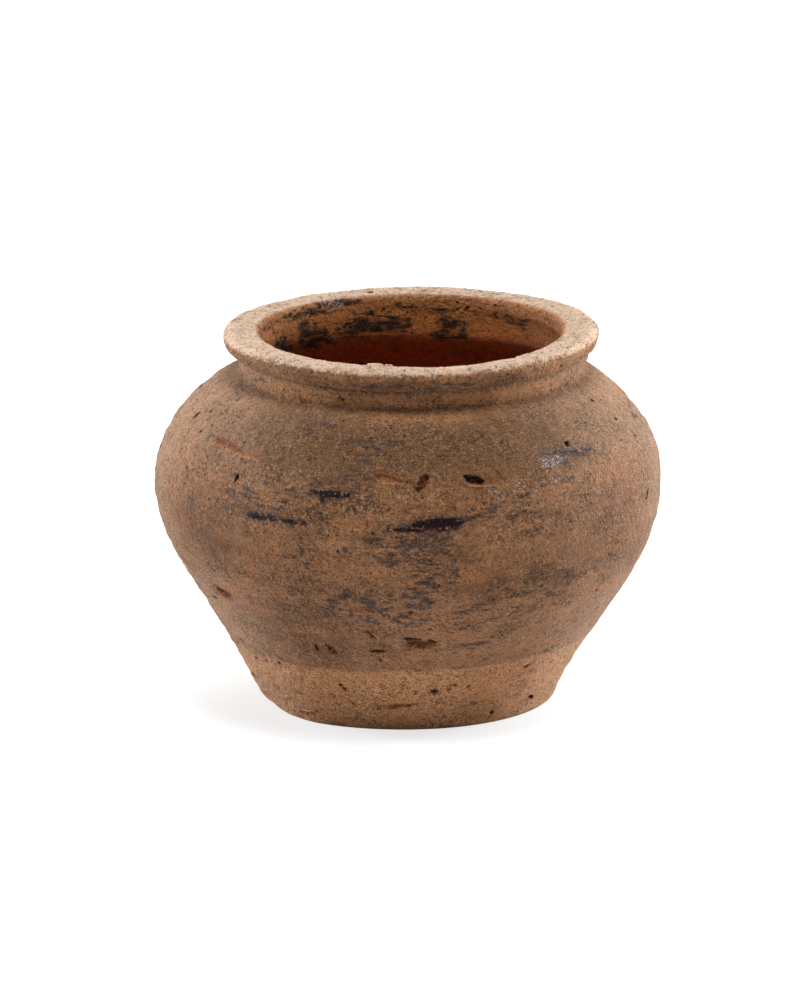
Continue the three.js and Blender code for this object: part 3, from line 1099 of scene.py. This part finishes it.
    # Relief too fine for the mesh, with its height in millimetres.
    level |= {"pinhole": share["pinhole"], "sand": grit}
    bump = {"Strength": 1}
    for grain, height in (
        ("mottle", 1.4), ("crumb", 2.4), ("grain", 1.4), ("sand", 0.15), ("pinhole", -0.6),
    ):
        bump |= {"Height": level[grain], "Distance": height * MM}
        bump["Normal"] = put("ShaderNodeBump", bump)

    # Dry clay hardly shines, its dust gives a weak sheen at the edges, and glaze is smoother.
    inputs = {"Value": share["glaze"], "To Min": 0.6, "To Max": 0.42}
    rough = put("ShaderNodeMapRange", inputs)
    surface = put("ShaderNodeBsdfPrincipled", {
        "Base Color": colour,
        "Roughness": rough,
        "Specular IOR Level": 0.03,
        "Diffuse Roughness": 0.1,
        "Sheen Weight": 0.15,
        "Sheen Roughness": 0.2,
        "Normal": bump["Normal"],
    })
    put("ShaderNodeOutputMaterial", {"Surface": surface}, None)
    return material


# How far from marks the skin is cut finer, in half widths, and how many cuts an edge gets there.
REFINE_REACH = 2.2
RIDGE_CUTS = 1
HOLE_CUTS = 3
SMOOTH_ANGLE = math.radians(60)


def fire(name, node, outline, turn_steps):
    """Models one section of clay from its outline, weathers it and sets it in the frame."""
    form = bpy.context.scene.pot_form
    piece = throw(name, outline, turn_steps)
    marks = clay_marks()
    refine(piece, marks["ridges"] + marks["crumbs"], REFINE_REACH, RIDGE_CUTS)
    refine(piece, marks["pits"] + marks["scars"], REFINE_REACH, HOLE_CUTS)
    mesh = piece.data
    flat = np.empty(len(mesh.vertices) * 3, np.float32)
    mesh.vertices.foreach_get("co", flat)
    skin = Skin(flat.reshape(-1, 3).astype(float) / MM)
    moved = settled(skin.points + skin.normal * relief(skin, form)[:, None])
    mesh.vertices.foreach_set("co", (moved * MM).astype(np.float32).ravel())
    for coat, share in coats(skin).items():
        layer = mesh.attributes.new(coat, "FLOAT", "POINT")
        layer.data.foreach_set("value", share.astype(np.float32))
    mesh.update()
    bpy.ops.object.shade_smooth_by_angle(angle=SMOOTH_ANGLE)
    mesh.materials.append(terracotta())
    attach(piece, "root")
    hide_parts(node)


# The add-on


def length_property(name, description, length):
    """A length in millimetres that a user can change."""
    size = length * MM
    return bpy.props.FloatProperty(name=name, description=description, default=size, unit="LENGTH")


def power_property(name, description, power):
    """A lamp's power in watts that a user can change."""
    return bpy.props.FloatProperty(name=name, description=description, default=power, unit="POWER")


def colour_property(name, description, colour):
    """A colour that a user can change."""
    return bpy.props.FloatVectorProperty(
        name=name, description=description, default=linear(colour), subtype="COLOR", min=0, max=1
    )


class PotForm(bpy.types.PropertyGroup):
    """Sizes of the modelled clay."""

    turn_steps: bpy.props.IntProperty(
        name="Turn steps", description="Facets round the wall", default=576, min=48
    )
    rim_turn_steps: bpy.props.IntProperty(
        name="Rim turn steps", description="Facets round the rim", default=800, min=48
    )
    skin_step: length_property("Skin step", "Distance between rings of points outside", 1.0)
    rim_step: length_property("Rim step", "Distance between rings of points on the rim", 0.5)
    hidden_step: length_property(
        "Hidden step", "Distance between rings of points inside and underneath", 4.5
    )
    wobble: length_property("Wobble", "How far the wall wanders from a true circle", 0.7)
    rings: length_property("Throwing rings", "Height of the rings left by fingers", 0.2)
    lumps: length_property("Lumps", "Height of lumps in the coarse clay", 0.36)
    sand: length_property("Sand", "Height of sand grains in the skin", 0.13)
    seam: length_property("Seam step", "Depth of the step along the shoulder seam", 0.65)


class PotFinish(bpy.types.PropertyGroup):
    """Colours of the clay, its coats, its wear, and the light and shade painted on it."""

    clay: colour_property("Clay", "Weathered skin of the wall", "#9a6c4c")
    # Also the colour of the painted shade under the rim and on the belly.
    dark_clay: colour_property("Dark clay", "Patches where dirt settled", "#5e3c27")
    pale_clay: colour_property("Pale clay", "Streaks where the skin was rubbed", "#a8805d")
    # Also the painted shade on the front of the shoulder.
    olive: colour_property("Olive film", "Thin film of old growth", "#68492e")
    orange: colour_property("Orange clay", "Clean clay that shows through", "#af7347")
    # Also the colour of the painted light on the neck.
    foot: colour_property("Foot", "Bare scraped band at the foot", "#bf8659")
    # Worn rim, with painted sheen and painted light in its mask.
    rim: colour_property("Rim", "Worn top of the rim", "#dfc3ab")
    inside: colour_property("Inside", "Wiped inside of the mouth", "#ba7236")
    # Painted bounce light deep inside the wall.
    bounce_light: colour_property("Damp", "Damp red inside of the wall", "#d87540")
    # Pale dust, and painted sheen on the sides.
    dust: colour_property("Dust", "Pale dust on the sides of the shoulder", "#ab9078")
    stain: colour_property("Stain", "Dark stains inside the mouth", "#21150f")
    soot: colour_property("Soot", "Grey smears", "#3d302c")
    dark_grain: colour_property("Dark grains", "Dark sand", "#402a19")
    pale_grain: colour_property("Pale grains", "Pale sand", "#d9b48c")
    scar: colour_property("Scar", "Red clay under the skin", "#8a4e2e")
    glaze: colour_property("Glaze", "Black of the old glaze", "#1d1012")
    slate: colour_property("Slate", "Thin worn glaze", "#52423b")
    # Painted shade in the bottoms of pits, scars, crumbs and pinholes.
    hollow: colour_property("Hollow", "Bottom of pits", "#170a05")
    # Painted highlights on glassy specks of glaze.
    glint: colour_property("Glint", "Specks of glass in the glaze", "#b4b0b0")


class PotStudio(bpy.types.PropertyGroup):
    """Strengths of the soft lights."""

    right: power_property("Right", "Soft light on the right", 46)
    left: power_property("Left", "Soft light on the left", 36)
    top: power_property("Top", "Soft light above", 27)
    front: power_property("Front", "Weak fill from the front", 1.2)
    sky: bpy.props.FloatProperty(
        name="Sky", description="Light from all around", default=0.14, min=0
    )


class POT_OT_base_slab(bpy.types.Operator):
    """Model the floor slab with its drain hole"""

    bl_idname = "pot.base_slab"
    bl_label = "Base slab"

    def execute(self, context):
        form = context.scene.pot_form
        outline = slab_line(form.skin_step / MM, form.hidden_step / MM)
        fire("fired_base_slab", "base_slab", outline, form.turn_steps)
        return {"FINISHED"}


class POT_OT_walls(bpy.types.Operator):
    """Model the foot wall, the belly wall, the shoulder wall and the neck collar"""

    bl_idname = "pot.walls"
    bl_label = "Walls"

    def execute(self, context):
        form = context.scene.pot_form
        for node, slot, low, high in (
            ("foot_wall", "bare_terracotta", FOOT_SEAM, WALL_SEAM),
            ("belly_wall", "weathered_terracotta", WALL_SEAM, SHOULDER_SEAM),
            ("shoulder_wall", "weathered_terracotta", SHOULDER_SEAM, COLLAR_SEAM),
            ("neck_collar", "weathered_terracotta", COLLAR_SEAM, RIM_SEAM),
        ):
            outline = section_outline(low, high, form.skin_step / MM, form.hidden_step / MM)
            steps = form.rim_turn_steps if high == RIM_SEAM else form.turn_steps
            fire("fired_" + node, node, outline, steps)
        return {"FINISHED"}


class POT_OT_rolled_rim(bpy.types.Operator):
    """Model the thick rolled rim"""

    bl_idname = "pot.rolled_rim"
    bl_label = "Rolled rim"

    def execute(self, context):
        form = context.scene.pot_form
        outline = roll_line(form.rim_step / MM)
        fire("fired_rolled_rim", "rolled_rim", outline, form.rim_turn_steps)
        return {"FINISHED"}


# Soft square lamps, as their width and their place, in metres.
LAMPS = {
    "right": (0.4, (1.29, 0.65, 0.2)),
    "left": (0.5, (-1.29, 0.62, 0.26)),
    "top": (0.5, (0.03, -0.45, 1.45)),
    "front": (1.2, (0, -1.6, 0.6)),
}
# What the lamps aim at and other lengths in metres, and the camera's sensor in millimetres.
LAMP_AIM = (0, 0, 0.08)
FLOOR_WIDTH = 12
CAMERA_REACH = 20
SENSOR_WIDTH = 36


class POT_OT_studio(bpy.types.Operator):
    """Set out the pale floor, the soft lights and the camera"""

    bl_idname = "pot.studio"
    bl_label = "Studio"

    def execute(self, context):
        scene = context.scene
        studio = scene.pot_studio
        scene.view_settings.view_transform = "Standard"

        bpy.ops.object.select_all(action="DESELECT")
        bpy.ops.mesh.primitive_plane_add(size=FLOOR_WIDTH)
        floor = context.object
        floor.name = "studio_floor"
        floor.data.materials.append(white_floor())

        for side, (width, place) in LAMPS.items():
            bpy.ops.object.light_add(type="AREA", location=place)
            light = context.object
            light.name = side + "_light"
            light.data.energy = getattr(studio, side)
            light.data.size = width
            sight = Vector(LAMP_AIM) - light.location
            light.rotation_euler = sight.to_track_quat("-Z", "Y").to_euler()

        bpy.ops.object.camera_add()
        camera = context.object
        camera.name = "photo_camera"
        camera.matrix_world = camera_matrix()
        camera.data.sensor_width = SENSOR_WIDTH
        camera.data.lens = FOCAL_PIXELS / PHOTO_HEIGHT * SENSOR_WIDTH
        camera.data.clip_end = CAMERA_REACH
        scene.camera = camera

        world = bpy.data.worlds.new("studio sky")
        scene.world = world
        world.use_nodes = True
        tree = world.node_tree
        tree.nodes.clear()
        inputs = {"Value": in_view(tree), "To Min": studio.sky, "To Max": 1}
        strength = add(tree, "ShaderNodeMapRange", inputs)
        sky = add(tree, "ShaderNodeBackground", {"Color": WHITE, "Strength": strength})
        add(tree, "ShaderNodeOutputWorld", {"Surface": sky}, None)
        return {"FINISHED"}


def in_view(tree):
    """1 on rays that show a thing to the camera, straight or in a reflection, and 0 on others."""
    path = add(tree, "ShaderNodeLightPath", {}, None)
    seen = path["Is Camera Ray"]
    for ray in ("Is Glossy Ray", "Is Transmission Ray"):
        seen = add(tree, "ShaderNodeMath", {0: seen, 1: path[ray]}, operation="MAXIMUM")
    return seen


WHITE = (1, 1, 1, 1)
# Paper as light falls on it, and as the camera sees it under the glow that keeps it white.
LIT_PAPER = (0.9, 0.9, 0.9, 1)
SEEN_PAPER = (0.22, 0.22, 0.22, 1)
# A shadow painted under the pot by dimming the glow: its middle, where it starts to fade, where it
# ends, and the glow at its middle.
SHADE_MIDDLE = (-0.02, -0.035, 0)
SHADE_CORE = 0.04
SHADE_END = 0.11
SHADE_GLOW = 0.74


def white_floor():
    """Matte white paper sweep: it looks white to the camera, keeps the pot's soft shadow and has a
    painted shadow under the pot.
    """
    material = bpy.data.materials.new("matte white paper")
    material.use_nodes = True
    tree = material.node_tree
    tree.nodes.clear()
    put = functools.partial(add, tree)
    place = put("ShaderNodeTexCoord", {}, "Object")
    away = put("ShaderNodeVectorMath", {0: place, 1: SHADE_MIDDLE}, "Value", operation="DISTANCE")
    inputs = {"Value": away, "From Min": SHADE_CORE, "From Max": SHADE_END, "To Min": SHADE_GLOW}
    bright = put("ShaderNodeMapRange", inputs, interpolation_type="SMOOTHSTEP")
    paper = put("ShaderNodeBsdfDiffuse", {"Color": LIT_PAPER})
    shaded = put("ShaderNodeBsdfDiffuse", {"Color": SEEN_PAPER})
    glow = put("ShaderNodeEmission", {"Color": WHITE, "Strength": bright})
    lit = put("ShaderNodeAddShader", {0: shaded, 1: glow})
    surface = put("ShaderNodeMixShader", {0: in_view(tree), 1: paper, 2: lit})
    put("ShaderNodeOutputMaterial", {"Surface": surface}, None)
    return material


class POT_PT_panel(bpy.types.Panel):
    """Settings and steps of the pot"""

    bl_idname = "POT_PT_panel"
    bl_label = "Terracotta pot"
    bl_space_type = "VIEW_3D"
    bl_region_type = "UI"
    bl_category = "Pot"

    def draw(self, context):
        for name in ("pot_form", "pot_finish", "pot_studio"):
            group = getattr(context.scene, name)
            box = self.layout.box()
            for key in group.__annotations__:
                box.prop(group, key)
        for step in STEPS:
            self.layout.operator(step.bl_idname)


STEPS = (POT_OT_base_slab, POT_OT_walls, POT_OT_rolled_rim, POT_OT_studio)
GROUPS = {"pot_form": PotForm, "pot_finish": PotFinish, "pot_studio": PotStudio}
CLASSES = (*GROUPS.values(), *STEPS, POT_PT_panel)


def register():
    for cls in CLASSES:
        bpy.utils.register_class(cls)
    for name, group in GROUPS.items():
        setattr(bpy.types.Scene, name, bpy.props.PointerProperty(type=group))


def unregister():
    for name in GROUPS:
        delattr(bpy.types.Scene, name)
    for cls in reversed(CLASSES):
        bpy.utils.unregister_class(cls)


def main():
    register()
    bpy.ops.pot.base_slab()
    bpy.ops.pot.walls()
    bpy.ops.pot.rolled_rim()
    bpy.ops.pot.studio()


if __name__ == "__main__":
    main()
